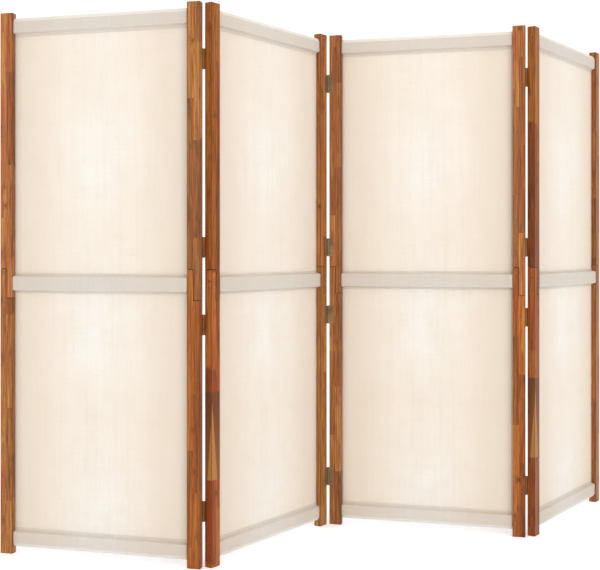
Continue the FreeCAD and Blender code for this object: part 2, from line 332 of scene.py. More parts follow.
class Material:
    """A material whose nodes all come from add."""

    def __init__(self, name):
        self.material = bpy.data.materials.new(name)
        self.material.use_nodes = True
        self.tree = self.material.node_tree
        self.tree.nodes.clear()

    def add(self, kind, settings=None, sockets=None, out=0):
        """Adds a node of a type, sets its settings, then its sockets' values or links, and gives an output.
        The setting stops holds a ramp's (position, colour) pairs."""
        node = self.tree.nodes.new(kind)
        for name, value in (settings or {}).items():
            if name == "stops":
                ramp = node.color_ramp.elements
                for place, (position, colour) in enumerate(value):
                    stop = ramp[place] if place < 2 else ramp.new(position)
                    stop.position = position
                    stop.color = (*colour, 1.0)
            else:
                setattr(node, name, value)
        for place, value in (sockets or {}).items():
            if isinstance(value, Socket):
                self.tree.links.new(value.socket, node.inputs[place])
            else:
                node.inputs[place].default_value = value
        return Socket(self, node.outputs[out]) if node.outputs else None

    def parts(self, vector):
        """The three numbers of a vector."""
        first = self.add("ShaderNodeSeparateXYZ", None, {0: vector})
        node = first.socket.node
        return [Socket(self, output) for output in node.outputs]

    def vector(self, x, y, z):
        return self.add("ShaderNodeCombineXYZ", None, {0: x, 1: y, 2: z})

    def noise(self, vector, detail=2.0, roughness=0.5, scale=1.0):
        return self.add(
            "ShaderNodeTexNoise", None,
            {"Vector": vector, "Scale": scale, "Detail": detail, "Roughness": roughness},
        )

    def mix(self, share, first, second, blend="MIX"):
        """Colours first and second mixed, with share of the second."""
        colours = [(*c, 1.0) if isinstance(c, (tuple, list)) else c for c in (first, second)]
        return self.add(
            "ShaderNodeMix", {"data_type": "RGBA", "blend_type": blend},
            {0: share, 6: colours[0], 7: colours[1]}, out=2,
        )

    def bump(self, height, distance, strength=1.0):
        return self.add(
            "ShaderNodeBump", None, {"Height": height, "Distance": distance, "Strength": strength}
        )

    def surface(self, **sockets):
        """A Principled shader with these sockets, whose names have their spaces written as underscores."""
        named = {}
        for name, value in sockets.items():
            if isinstance(value, (tuple, list)) and len(value) == 3:
                value = (*value, 1.0)
            named[name.replace("_", " ")] = value
        return self.add("ShaderNodeBsdfPrincipled", None, named)

    def finish(self, shader):
        self.add("ShaderNodeOutputMaterial", None, {"Surface": shader})
        return self.material


def panel_place(panel):
    """(front left corner on the floor in millimetres, turn in radians) of a panel, from its two feet:
    the turn is the direction from the left foot to the right one, and the corner lies half a post's
    width and half its depth from the left foot, against the panel's own axes."""
    feet = {m["name"]: np.array(m["pos_m"][:2]) * 1000 for m in frame["record"]["mounts"]}
    left, right = (feet[f"foot_{panel}_{side}"] for side in SIDES)
    turn = math.atan2(right[1] - left[1], right[0] - left[0])
    along = np.array((math.cos(turn), math.sin(turn)))
    back = np.array((-math.sin(turn), math.cos(turn)))
    return left - along * POST_WIDTH / 2 - back * POST_DEPTH / 2, turn


def to_screen(panel, x, y, z):
    """Points of a panel's frame in millimetres as points of the screen's frame in metres: turned about
    the upright axis, then moved by the panel's corner."""
    corner, turn = panel_place(panel)
    x, y, z = np.broadcast_arrays(x, y, z)
    places = np.empty((x.size, 3))
    places[:, 0] = (corner[0] + x * math.cos(turn) - y * math.sin(turn)).ravel()
    places[:, 1] = (corner[1] + x * math.sin(turn) + y * math.cos(turn)).ravel()
    places[:, 2] = z.ravel()
    return places / 1000


def panel_point(material, panel):
    """A point's place in its panel's frame, in millimetres, from its Object coordinates: scaled, turned
    back by the panel's turn and moved by the corner's place turned the same way."""
    corner, turn = panel_place(panel)
    shift_x = -(corner[0] * math.cos(turn) + corner[1] * math.sin(turn))
    shift_y = corner[0] * math.sin(turn) - corner[1] * math.cos(turn)
    point = material.add("ShaderNodeTexCoord", out=3)
    return material.add(
        "ShaderNodeMapping", {"vector_type": "POINT"},
        {
            "Vector": point,
            "Location": (shift_x, shift_y, 0.0),
            "Rotation": (0.0, 0.0, -turn),
            "Scale": (1000.0, 1000.0, 1000.0),
        },
    )


def smooth_waves(places, lengths, rng):
    """Sum of sines over places, one for each wavelength, with random phases, scaled to lie within 1."""
    phases = rng.uniform(0, 2 * math.pi, len(lengths))
    waves = sum(np.sin(2 * math.pi * places / length + phase) for length, phase in zip(lengths, phases))
    return waves / len(lengths)


def rounded(corners, radii, step):
    """A path of (y, z) corners with each inner corner cut by an arc: the arc touches both runs at
    radius times the tangent of half the turn from the corner. Points are at most step apart on the
    first and last runs and on arcs."""
    corners = [np.array(c, float) for c in corners]
    points = [corners[0][None]]
    for before, corner, after, radius in zip(corners, corners[1:], corners[2:], radii):
        come = (corner - before) / np.linalg.norm(corner - before)
        leave = (after - corner) / np.linalg.norm(after - corner)
        turn = math.atan2(come[0] * leave[1] - come[1] * leave[0], come @ leave)
        cut = radius * math.tan(abs(turn) / 2)
        side = np.array((-come[1], come[0])) * math.copysign(1, turn)
        middle = corner - come * cut + side * radius
        count = max(3, int(math.ceil(radius * abs(turn) / step)) + 1)
        angles = np.linspace(0, turn, count)
        spoke = -side * radius
        arc = np.stack(
            (
                middle[0] + spoke[0] * np.cos(angles) - spoke[1] * np.sin(angles),
                middle[1] + spoke[0] * np.sin(angles) + spoke[1] * np.cos(angles),
            ),
            1,
        )
        points.append(arc)
    points.append(corners[-1][None])
    return np.concatenate(points)


def filled(path, coarse_from=0.0, coarse_to=0.0):
    """The path with its long runs divided: PATH_STEP apart, or COARSE_STEP apart where z lies between
    the two heights coarse_from and coarse_to."""
    parts = []
    for first, last in zip(path, path[1:]):
        middle = (first[1] + last[1]) / 2
        length = np.linalg.norm(last - first)
        step = COARSE_STEP if coarse_from < middle < coarse_to else PATH_STEP
        shares = np.linspace(0, 1, max(2, int(math.ceil(length / step)) + 1))[:-1, None]
        parts.append(first + (last - first) * shares)
    parts.append(path[-1:])
    return np.concatenate(parts)


def path_normals(path):
    """Unit normals to the left of a path of (y, z) points: each is the mean direction of the two runs
    at its point, turned a quarter."""
    runs = np.diff(path, axis=0)
    runs /= np.linalg.norm(runs, axis=1, keepdims=True)
    along = np.concatenate((runs[:1], runs[:-1] + runs[1:], runs[-1:]))
    along /= np.linalg.norm(along, axis=1, keepdims=True)
    return np.stack((-along[:, 1], along[:, 0]), 1)


def grid_faces(rows, columns):
    """Corner numbers of the quads between neighbouring rows and columns of a grid of points, as lists."""
    first = (np.arange(rows - 1)[:, None] * columns + np.arange(columns - 1)).reshape(-1)
    return np.stack((first, first + 1, first + columns + 1, first + columns), 1).tolist()


def new_mesh(name, points, faces):
    """An object with smooth faces, whose points are already in their place in the screen's frame."""
    mesh = bpy.data.meshes.new(name)
    mesh.from_pydata(points, [], faces)
    mesh.polygons.foreach_set("use_smooth", np.ones(len(mesh.polygons), bool))
    piece = bpy.data.objects.new(name, mesh)
    bpy.context.scene.collection.objects.link(piece)
    return piece


def weave_map(piece, across, along):
    """A UV map named weave that holds, in metres, how far each point lies across and along the cloth."""
    mesh = piece.data
    corners = np.empty(len(mesh.loops), int)
    mesh.loops.foreach_get("vertex_index", corners)
    places = np.stack((across.ravel()[corners], along.ravel()[corners]), 1) / 1000
    layer = mesh.uv_layers.new(name="weave")
    layer.uv.foreach_set("vector", places.astype(np.float32).ravel())


def thicken(piece, thickness):
    """Gives a cloth surface its thickness, half to each side, with closed edges."""
    modifier = piece.modifiers.new("Thickness", "SOLIDIFY")
    modifier.thickness = thickness
    modifier.offset = 0.0
    modifier.use_even_offset = True


def sheet_path():
    """Middle of the cloth of one panel as (y, z) points: up the hem and the front of the top rail, over
    its empty fold, down the sheet, and round the bottom rail in the same way."""
    fold_y = (OUTER_FRONT_Y + SHEET_Y) / 2
    top_low, top_high = TOP_RAIL
    low, high = BOTTOM_RAIL
    corners = [
        (HEM_Y, top_low - HEM_REACH),
        (HEM_Y, top_low - SLEEVE_SLOPE),
        (OUTER_FRONT_Y, top_low - 0.7),
        (OUTER_FRONT_Y, top_high + 0.5),
        (fold_y, top_high + EMPTY_FOLD + 1.0),
        (SHEET_Y, top_high + 0.5),
        (SHEET_Y, low - 0.5),
        (fold_y, low - EMPTY_FOLD - 1.0),
        (OUTER_FRONT_Y, low - 0.5),
        (OUTER_FRONT_Y, high + 0.7),
        (HEM_Y, high + SLEEVE_SLOPE),
        (HEM_Y, high + HEM_REACH),
    ]
    radii = (3.0, 2.2, 5.0, 1.2, 5.0, 5.0, 1.2, 5.0, 2.2, 3.0)
    return filled(rounded(corners, radii, ARC_STEP), high + FINE_REACH, top_low - FINE_REACH)


def middle_path():
    """Middle of the cloth strip over a middle rail as (y, z) points, from its lower edge to its upper."""
    low, high = MIDDLE_RAIL
    corners = [
        (HEM_Y, low - SEAM_REACH),
        (HEM_Y, low - SLEEVE_SLOPE),
        (MIDDLE_FRONT_Y, low - 0.7),
        (MIDDLE_FRONT_Y, high + 0.7),
        (HEM_Y, high + SLEEVE_SLOPE),
        (HEM_Y, high + SEAM_REACH),
    ]
    return filled(rounded(corners, (3.0, 2.2, 2.2, 3.0), ARC_STEP))


def cloth_surface(name, panel, path, lift):
    """Cloth over a (y, z) path: a point is the path's point at its row, moved along the path's normal by
    lift, a function of the columns' x values and the rows' y and z."""
    x = np.linspace(*CLOTH_SIDES, CLOTH_COLUMNS)
    lengths = np.concatenate(([0], np.cumsum(np.linalg.norm(np.diff(path, axis=0), axis=1))))
    normals = path_normals(path)
    height = lift(x[None, :], path[:, :1], path[:, 1:])
    y = path[:, :1] + normals[:, :1] * height
    z = path[:, 1:] + normals[:, 1:] * height
    across = np.broadcast_to(x[None, :], y.shape)
    piece = new_mesh(name, to_screen(panel, across, y, z), grid_faces(*y.shape))
    weave_map(piece, across - CLOTH_SIDES[0], np.broadcast_to(lengths[:, None], y.shape))
    thicken(piece, CLOTH_THICKNESS / 1000)
    return piece, lengths[-1]


def stitch_rows(name, panel, rows, pitch):
    """Sewing stitches in level rows of (y, z, way), way being -1 for a row that faces the front and 1 for
    one that faces the back. A stitch is a thread along a half sine that sinks into the cloth at both
    ends: rings of points across the thread whose radius follows the root of the same sine, and a
    point at each end."""
    rings, sides = 5, 6
    width = CLOTH_SIDES[1] - CLOTH_SIDES[0]
    count = int((width - 2 * STITCH_INSET) / pitch)
    starts = CLOTH_SIDES[0] + STITCH_INSET + pitch * np.arange(count)
    along = np.linspace(0, 1, rings + 2)[1:-1, None]
    around = np.arange(sides)[None, :] * 2 * math.pi / sides
    arch = np.sin(math.pi * along)
    ring_x = THREAD_SHARE * pitch * along + 0 * around
    ring_out = THREAD_RISE * arch + THREAD_RADIUS * arch**0.5 * np.cos(around)
    ring_up = THREAD_RADIUS * arch**0.5 * np.sin(around)
    x = np.concatenate(([0.0], ring_x.ravel(), [THREAD_SHARE * pitch]))
    out = np.concatenate(([0.0], ring_out.ravel(), [0.0])) - THREAD_SINK
    up = np.concatenate(([0.0], ring_up.ravel(), [0.0]))

    last_point = rings * sides + 1
    ring, turned = np.arange(sides), np.roll(np.arange(sides), -1)
    low = 1 + sides * np.arange(rings - 1)[:, None]
    high = low + sides
    walls = np.stack((low + ring, low + turned, high + turned, high + ring), -1).reshape(-1, 4)
    last_ring = last_point - sides
    first_tip = np.stack((0 * ring, 1 + turned, 1 + ring), 1)
    last_tip = np.stack((last_point + 0 * ring, last_ring + ring, last_ring + turned), 1)
    tips = np.concatenate((first_tip, last_tip))
    points, faces = [], []
    for row, (y, z, way) in enumerate(rows):
        points.append(to_screen(panel, starts[:, None] + x, y + way * out, z + up))
        first = (row * count + np.arange(count))[:, None, None] * (last_point + 1)
        for corners in (walls, tips):
            turned_out = corners if way > 0 else corners[:, ::-1]
            faces += (first + turned_out).reshape(-1, corners.shape[1]).tolist()
    return new_mesh(name, np.concatenate(points), faces)


def cloth_material(name, settings):
    """Plain weave of two sets of threads, each thread a sine ridge that goes over and under the other
    set in turn, with long thick threads and broad faint clouds. Part of the light passes through.
    Painted glow makes the cloth palest down the middle of a sheet, most of all in patches that follow a
    cosine of the height, and painted shade makes it darker and warmer close to the posts. Painted shade
    dims it over a rail, which stops light, and on the doubled hems next to it, and painted glow makes it
    pale in the empty folds at the top and bottom."""
    m = Material(name)
    point = m.add("ShaderNodeUVMap", {"uv_map": "weave"})
    across, along, _ = m.parts(point)
    width = (CLOTH_SIDES[1] - CLOTH_SIDES[0]) / 1000
    inward = across.math("MINIMUM", width - across) * 1000
    height = m.parts(m.add("ShaderNodeTexCoord", out=3))[2] * 1000
    # Painted glow down the middle of each sheet, strongest in patches along the height
    patches = ((height - PATCH_HEIGHT) * (2 * math.pi / PATCH_SPACING)).math("COSINE")
    middle = inward.step(60, 300) * (0.74 + patches * 0.26)
    # Painted shade where the rails stop the light behind the cloth, and on the doubled hems beside them
    top_seam, bottom_seam = TOP_RAIL[0], BOTTOM_RAIL[1]
    bands = (
        (*TOP_RAIL, 1.0), (*MIDDLE_RAIL, 1.0), (*BOTTOM_RAIL, 0.4),
        (top_seam - HEM_REACH, top_seam, 0.4), (bottom_seam, bottom_seam + HEM_REACH, 0.2),
    )
    rail_and_hem_shade = 0
    for low, high, share in bands:
        half = (high - low) / 2
        rail_and_hem_shade = abs(height - (low + half)).step(half + 1.5, half - 0.5) * share + rail_and_hem_shade
    top, bottom = TOP_RAIL[1], BOTTOM_RAIL[0]
    # Painted glow in the empty folds above the top rail and below the bottom rail
    fold = height.step(top + 0.5, top + 2.5) + height.step(bottom - 0.5, bottom - 2.5)
    pitch = settings.thread_pitch
    across, along = across / pitch, along / pitch
    warp = abs((across * math.pi).math("SINE"))
    weft = abs((along * math.pi).math("SINE"))
    over = (((across.math("FLOOR") + along.math("FLOOR")) * 0.5).math("FRACT")).step(0.2, 0.3)
    threads = warp * over + weft * (1 - over)
    upright = m.noise(m.vector(across * 0.55, along * 0.012, 3.1), 2.0, 0.6).step(0.50, 0.74)
    level = m.noise(m.vector(across * 0.014, along * 0.6, 8.7), 2.0, 0.6).step(0.52, 0.76)
    slubs = upright.math("MAXIMUM", level)
    clouds = m.noise(m.vector(across * 0.012, along * 0.010, 1.7), 3.0, 0.55)
    streaks = m.noise(m.vector(across * 0.07, along * 0.0022, 5.3), 3.0, 0.6)
    slub = tuple(settings.slub_colour)
    colour = m.mix(middle, tuple(settings.colour), tuple(settings.painted_glow_colour))
    # Painted shade of the posts on the cloth beside them
    edge = inward.step(200, 0) * 0.34 + inward.step(34, 0) * 0.42
    colour = m.mix(edge, colour, tuple(settings.painted_shade_colour))
    colour = m.mix(slubs * 0.40, colour, slub)
    colour = m.mix(clouds.step(0.35, 0.75) * 0.16, colour, slub)
    colour = m.mix(streaks.step(0.4, 0.75) * 0.18, colour, slub)
    colour = m.mix((1 - threads) * 0.10, colour, slub)
    # Painted shade over the rails and hems
    colour = m.mix(rail_and_hem_shade * 0.4, colour, tuple(0.76 * c for c in settings.painted_shade_colour))
    # Painted glow in the empty folds
    colour = m.mix(fold * 0.4, colour, tuple(settings.painted_glow_colour))
    normal = m.bump(threads + slubs * 0.8, 0.00018, 0.55)
    face = m.surface(
        Base_Color=colour, Roughness=0.92 - slubs * 0.12, Normal=normal, Specular_IOR_Level=0.2,
        Sheen_Weight=0.15, Sheen_Roughness=0.6,
    )
    glow = m.add("ShaderNodeBsdfTranslucent", None, {"Color": colour, "Normal": normal})
    through = settings.light_through * (1 - rail_and_hem_shade * 0.3 - fold * 0.2)
    return m.finish(m.add("ShaderNodeMixShader", None, {0: through, 1: face, 2: glow}))


def thread_material(settings):
    """Sewing thread: a fine ripple of twisted strands over the thread's colour."""
    m = Material("sewing_thread")
    point = m.add("ShaderNodeTexCoord", out=3)
    twist = m.noise(point, 3.0, 0.6, 2600.0)
    colour = m.mix(twist.step(0.3, 0.7), tuple(0.82 * c for c in settings.thread_colour),
                   tuple(settings.thread_colour))
    return m.finish(
        m.surface(Base_Color=colour, Roughness=0.75 + 0.15 * twist, Normal=m.bump(twist, 0.0001, 0.5))
    )


def grain(m, along, across, depth, seed, settings, tones, board_shift, stave_offset=0.0):
    """Colour, roughness and bump of oiled wood whose grain runs along the first direction.
    The piece is glued up from staves side by side, and each stave from boards end to end, whose ends
    are straight across its width and zigzag through its depth. Every board has its own tone and grain.
    Rings are circles about a pith off the piece, bent by slow noise and pushed aside by knots, and
    darken towards each ring's outer edge. Fibres are fine noise drawn out along the grain."""
    rng = np.random.default_rng(settings.seed * 1000 + seed)
    pith_across, pith_depth = rng.uniform(25, 60) * rng.choice((-1, 1)), rng.uniform(20, 60)
    lean = rng.uniform(-0.05, 0.05)
    away = float(rng.uniform(0, 900))
    spacing = settings.ring_spacing * 1000

    stave = ((across + stave_offset) / (settings.stave_width * 1000)).math("FLOOR")
    teeth = abs((depth / 6.5).math("FRACT") - 0.5) * 22.0
    place = along + teeth + stave * (0.43 * settings.board_length * 1000) + board_shift
    board = (place / (settings.board_length * 1000)).math("FLOOR")
    random = m.add(
        "ShaderNodeTexWhiteNoise", {"noise_dimensions": "3D"}, {"Vector": m.vector(board, stave, away)}, out=1
    )
    tone, redness, gold = m.parts(random)
    shifted = tone * 40.0 + away

    def field(stretch, width, detail, shift=0.0):
        return m.noise(
            m.vector(along / stretch + shifted + shift, across / width, depth / width), detail, 0.55
        )

    cell = settings.knot_spacing * 1000
    knots = m.add(
        "ShaderNodeTexVoronoi", {"feature": "F1", "voronoi_dimensions": "3D"},
        {"Vector": m.vector(along / (1.6 * cell) + away, across / cell, depth / cell), "Scale": 1.0},
    )
    knot_gap = knots * cell + (field(12.0, 5.0, 2.0, 60.0) - 0.5) * 5.0
    knot = knot_gap.step(5.5, 3.0)
    halo = knot_gap.step(15.0, 5.0)
    bend = field(240.0, 26.0, 2.0) - 0.5
    side = (across - pith_across) * (across - pith_across)
    side = (side + (depth - pith_depth) * (depth - pith_depth)).math("SQRT")
    reach = side + along * lean + bend * 15.0 + halo * 6.0 + tone * 40.0
    ring = (reach / spacing).math("FRACT")
    late = ring.step(0.25, 0.85) * ring.step(1.0, 0.9)
    fibres = field(22.0, 0.75, 3.0)
    streaks = field(150.0, 3.6, 2.0, 40.0)
    broad = field(380.0, 12.0, 1.0, 80.0)
    pores = field(9.0, 0.9, 1.0, 120.0).step(0.66, 0.74)
    shade = (
        late * 0.16 + fibres.step(0.3, 0.7) * 0.22 + streaks.step(0.34, 0.66) * 0.46
        + broad.step(0.35, 0.65) * 0.24 + (tone - 0.5) * 0.66 - 0.04
    )
    light, middle, dark, red, olive = tones
    colour = m.add(
        "ShaderNodeValToRGB",
        {"stops": [(0.05, light), (0.95, dark), (0.45, middle)]},
        {0: shade},
    )
    red_streaks = field(280.0, 5.0, 1.0, 160.0).step(0.50, 0.64)
    colour = m.mix(red_streaks * (0.30 + redness * 0.65), colour, red)
    olive_streaks = field(260.0, 4.2, 1.0, 200.0).step(0.54, 0.68)
    colour = m.mix(olive_streaks * (0.15 + gold * 0.55), colour, olive)
    smoke = field(85.0, 15.0, 2.0, 240.0).step(0.55, 0.68)
    colour = m.mix(smoke * 0.45, colour, tuple(0.8 * c for c in dark))
    colour = m.mix(pores * 0.35, colour, tuple(0.55 * c for c in dark))
    colour = m.mix(halo * 0.35, colour, dark)
    colour = m.mix(knot * 0.8, colour, tuple(0.5 * a + 0.15 * b for a, b in zip(dark, red)))
    height = fibres * 0.5 + (1 - pores) * 0.6 + (1 - late) * 0.25
    return colour, height, fibres


def post_tones(settings, shade=EVEN_SHADE):
    """The posts' five wood tones, with their red, green and blue each scaled by the shade's own."""
    names = ("golden", "reddish", "brown", "red", "olive")
    return [tuple(s * c for s, c in zip(shade, getattr(settings, name))) for name in names]


def wedge_figure(m, colour, across, z, fibres, settings):
    """A dark board with a pale wedge of sapwood: the wedge is a triangle whose half width grows from
    nothing at its tip to its full width at the board's lower end, with edges ragged along the fibres."""
    low, high = WEDGE_BOARD
    board = z.step(low - 0.5, low + 0.5) * z.step(high + 0.5, high - 0.5)
    slope = WEDGE_HALF_WIDTH / (WEDGE_TIP - low)
    inside = (WEDGE_TIP - z) * slope - abs(across - WEDGE_MIDDLE) + (fibres - 0.5) * 6.0
    pale = inside.step(-1.0, 2.0)
    dark = m.mix(
        z.step(low, high), tuple(0.62 * c for c in settings.reddish),
        tuple(0.55 * c for c in settings.brown),
    )
    dark = m.mix(fibres * 0.5, dark, tuple(0.8 * c for c in settings.reddish))
    light = m.mix(
        fibres, tuple(0.66 * c for c in settings.golden), tuple(0.9 * c for c in settings.golden)
    )
    figure = m.mix(pale, dark, light)
    return m.mix(board * 0.9, colour, figure)


def post_material(name, panel, side, half, settings):
    """Wood of one post half, with a dark glue line along the lap and painted shade on its rounded
    edges. The lap's line goes level from the left face to the middle at its top, down the middle, and
    level to the right face at its bottom. A point is on an edge where it is near both a side face and a
    front or back."""
    m = Material(name)
    x, y, z = m.parts(panel_point(m, panel))
    if side == "right":
        x = x - (PANEL_WIDTH - POST_WIDTH)
    seed = panel * 10 + SIDES.index(side) * 4 + HALVES.index(half) * 2
    shift = (POST_BOARD_STEP * seed) % (settings.board_length * 1000)
    tones = post_tones(settings, POST_SHADES.get((panel, side, half), EVEN_SHADE))
    colour, height, fibres = grain(m, z, x, y, seed, settings, tones, shift, POST_STAVE_OFFSET)
    if panel in WEDGE_PANELS and side == "left" and half == "lower":
        colour = wedge_figure(m, colour, x - WEDGE_LEAN * y, z, fibres, settings)
    middle = POST_WIDTH / 2
    left = x.step(middle + 0.4, middle - 0.4)
    low, high = LAP
    upper_line = abs(z - high).step(1.6, 0.8) * left
    lower_line = abs(z - low).step(1.6, 0.8) * (1 - left)
    in_lap = (z - low).step(-0.5, 0.5) * (z - high).step(0.5, -0.5)
    middle_line = abs(x - middle).step(1.6, 0.8) * in_lap
    seam = upper_line.math("MAXIMUM", lower_line).math("MAXIMUM", middle_line)
    colour = m.mix(seam * 0.85, colour, tuple(0.4 * c for c in settings.brown))
    # Painted shade on the rounded edges, where they turn away from the light
    half_depth = POST_DEPTH / 2
    edge = abs(x - middle).step(middle - EDGE_SHADE_WIDTH, middle) * abs(y - half_depth).step(
        half_depth - EDGE_SHADE_WIDTH, half_depth)
    colour = m.mix(edge * 0.8, colour, tuple(0.62 * c for c in settings.brown))
    return m.finish(
        m.surface(
            Base_Color=colour, Roughness=0.52 - fibres * 0.14 + seam * 0.2,
            Normal=m.bump(height - seam * 0.8, 0.0003, 0.5), Specular_IOR_Level=0.16,
        )
    )


def rail_material(name, panel, settings):
    """Planed wood of a panel's rails, with its grain along the panel."""
    m = Material(name)
    x, y, z = m.parts(panel_point(m, panel))
    base = tuple(settings.rail_colour)
    tones = [tuple(s * c for c in base) for s in (1.0, 0.82, 0.62, 0.78, 0.9)]
    colour, height, fibres = grain(m, x, z, y, 90 + panel, settings, tones, RAIL_BOARD_SHIFT)
    return m.finish(
        m.surface(Base_Color=colour, Roughness=0.62 - fibres * 0.12, Normal=m.bump(height, 0.0003, 0.5))
    )


def plug_material(name, panel, settings):
    """Wood of the plugs, whose grain runs with the post's, in the shades of the halves they sit in."""
    m = Material(name)
    x, y, z = m.parts(panel_point(m, panel))
    tones = post_tones(settings)
    colour, height, fibres = grain(m, z, x, y, 70 + panel, settings, tones, PLUG_BOARD_SHIFT)
    middle = PANEL_WIDTH / 2
    on_right, on_upper = x.step(middle - 1, middle + 1), z.step(sum(LAP) / 2 - 1, sum(LAP) / 2 + 1)
    sides = [
        m.mix(on_upper, *(POST_SHADES.get((panel, side, half), EVEN_SHADE) for half in HALVES))
        for side in SIDES
    ]
    colour = m.mix(1.0, colour, m.mix(on_right, *sides), "MULTIPLY")
    return m.finish(
        m.surface(
            Base_Color=colour, Roughness=0.5 - fibres * 0.1, Normal=m.bump(height, 0.0003, 0.5),
            Specular_IOR_Level=0.16,
        )
    )


def metal_material(name, bright, dull, dullness):
    """Metal with clouded patina: two sizes of noise decide where it is dull, and fine upright scratches
    change its roughness and bump."""
    m = Material(name)
    point = m.add("ShaderNodeTexCoord", out=3)
    x, y, z = m.parts(point)
    clouds = m.noise(point, 2.0, 0.5, 26.0)
    specks = m.noise(point, 2.0, 0.5, 900.0)
    scratches = m.noise(m.vector(x * 1100.0, y * 1100.0, z * 60.0), 1.0, 0.5)
    dull_share = (clouds * 0.92 + specks * 0.08).step(0.30 - dullness, 0.92 - dullness)
    colour = m.mix(dull_share, bright, dull)
    return m.finish(
        m.surface(
            Base_Color=colour, Metallic=0.8 - 0.4 * dull_share,
            Roughness=0.46 + 0.18 * dull_share + 0.08 * scratches,
            Normal=m.bump(scratches + specks, 0.00003, 0.3),
        )
    )


def cover(piece, material):
    """Gives every material slot of a piece this material."""
    if not piece.data.materials:
        piece.data.materials.append(None)
    for slot in piece.material_slots:
        slot.material = material


class FOLDING_SCREEN_OT_posts(bpy.types.Operator):
    """Finish the posts and the plugs over their screws"""

    bl_idname = "folding_screen.posts"
    bl_label = "Finish posts"

    def execute(self, context):
        settings = context.scene.folding_screen_wood
        for panel in PANELS:
            for side in SIDES:
                for half in HALVES:
                    name = f"panel_{panel}_post_{side}_{half}"
                    cover(frame["nodes"][name], post_material(name + "_wood", panel, side, half, settings))
            plugs = frame["nodes"][f"panel_{panel}_screw_plugs"]
            cover(plugs, plug_material(f"panel_{panel}_plug_wood", panel, settings))
        return {"FINISHED"}


class FOLDING_SCREEN_OT_rails(bpy.types.Operator):
    """Finish the rails and their screws"""

    bl_idname = "folding_screen.rails"
    bl_label = "Finish rails"

    def execute(self, context):
        settings = context.scene.folding_screen_wood
        metal = context.scene.folding_screen_metal
        steel = metal_material(
            "zinc_steel", tuple(metal.steel), tuple(0.6 * c for c in metal.steel), 0.1
        )
        for panel in PANELS:
            wood = rail_material(f"panel_{panel}_rail_wood", panel, settings)
            for rail in ("top_rail", "middle_rail", "bottom_rail"):
                cover(frame["nodes"][f"panel_{panel}_{rail}"], wood)
            cover(frame["nodes"][f"panel_{panel}_rail_screws"], steel)
        return {"FINISHED"}


class FOLDING_SCREEN_OT_sheets(bpy.types.Operator):
    """Make the four cloth panels with the sleeves at their ends"""

    bl_idname = "folding_screen.sheets"
    bl_label = "Make cloth panels"

    def execute(self, context):
        settings = context.scene.folding_screen_cloth
        cloth = cloth_material("woven_cloth", settings)
        thread = thread_material(settings)
        path = sheet_path()
        ripple, pucker = settings.ripple * 1000, settings.pucker * 1000
        top_low, high = TOP_RAIL[0], BOTTOM_RAIL[1]
        seams = (top_low - HEM_REACH, high + HEM_REACH)
        for panel in PANELS:
            rng = np.random.default_rng(100 + panel)
            phase = rng.integers(1 << 30)

            def lift(x, y, z):
                """Soft upright waves over the sheet, and gathers that fade away from the rails' seams;
                over the rails the cloth only moves outwards."""
                rng = np.random.default_rng(phase)
                slow = smooth_waves(x + 0.05 * z, (310.0, 190.0, 120.0), rng)
                slow = slow * np.sin(math.pi * np.clip((z - 90) / 1630, 0, 1)) ** 0.5
                quick = smooth_waves(x + 0.3 * z, (46.0, 27.0, 17.0), rng)
                near = np.minimum(np.abs(z - seams[0]), np.abs(z - seams[1]))
                on_sheet = (y > 17) & (z > high) & (z < top_low)
                gather = quick * np.exp(-near / 30)
                sheet = -np.abs(slow) * ripple - 0.5 * pucker * (1 + gather)
                sleeve = 0.5 * pucker * (1 + quick)
                back = (y > 17) & ~on_sheet
                return np.where(on_sheet, sheet * 0.9, np.where(back, sleeve * 0.5, sleeve * 0.8))

            name = f"panel_{panel}_sheet"
            piece, length = cloth_surface(name, panel, path, lift)
            cover(piece, cloth)
            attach(piece, f"panel_{panel}")
            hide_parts(f"panel_{panel}_cloth")
            stitches = stitch_rows(
                f"panel_{panel}_hem_stitches", panel,
                [
                    (HEM_Y - 0.4, seams[0] + 4.0, -1), (SHEET_Y + 0.4, seams[0] + 4.0, 1),
                    (HEM_Y - 0.4, seams[1] - 4.0, -1), (SHEET_Y + 0.4, seams[1] - 4.0, 1),
                ],
                settings.stitch_length * 1000,
            )
            cover(stitches, thread)
            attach(stitches, f"panel_{panel}")
        return {"FINISHED"}


class FOLDING_SCREEN_OT_middle_sleeves(bpy.types.Operator):
    """Make the cloth strips over the middle rails"""

    bl_idname = "folding_screen.middle_sleeves"
    bl_label = "Make middle sleeves"

    def execute(self, context):
        settings = context.scene.folding_screen_cloth
        cloth = bpy.data.materials["woven_cloth"]
        thread = bpy.data.materials["sewing_thread"]
        path = middle_path()
        pucker = settings.pucker * 1000
        low, high = MIDDLE_RAIL
        for panel in PANELS:
            phase = 200 + panel

            def lift(x, y, z):
                """Shallow gathers, deepest at the seams and almost none over the rail's face."""
                quick = smooth_waves(x + 0.3 * z, (52.0, 31.0, 19.0), np.random.default_rng(phase))
                edge = np.clip((np.abs(z - (low + high) / 2) - 15) / 20, 0.1, 1)
                return -0.5 * pucker * (1 - quick) * edge

            name = f"panel_{panel}_middle_strip"
            piece, length = cloth_surface(name, panel, path, lift)
            cover(piece, cloth)
            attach(piece, f"panel_{panel}")
            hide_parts(f"panel_{panel}_middle_sleeve")
            seams = (low - SEAM_REACH + 3.5, high + SEAM_REACH - 3.5)
            stitches = stitch_rows(
                f"panel_{panel}_middle_stitches", panel,
                [(y, z, way) for z in seams for y, way in ((HEM_Y - 0.4, -1), (SHEET_Y + 0.4, 1))],
                settings.stitch_length * 1000,
            )
            cover(stitches, thread)
            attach(stitches, f"panel_{panel}")
        return {"FINISHED"}


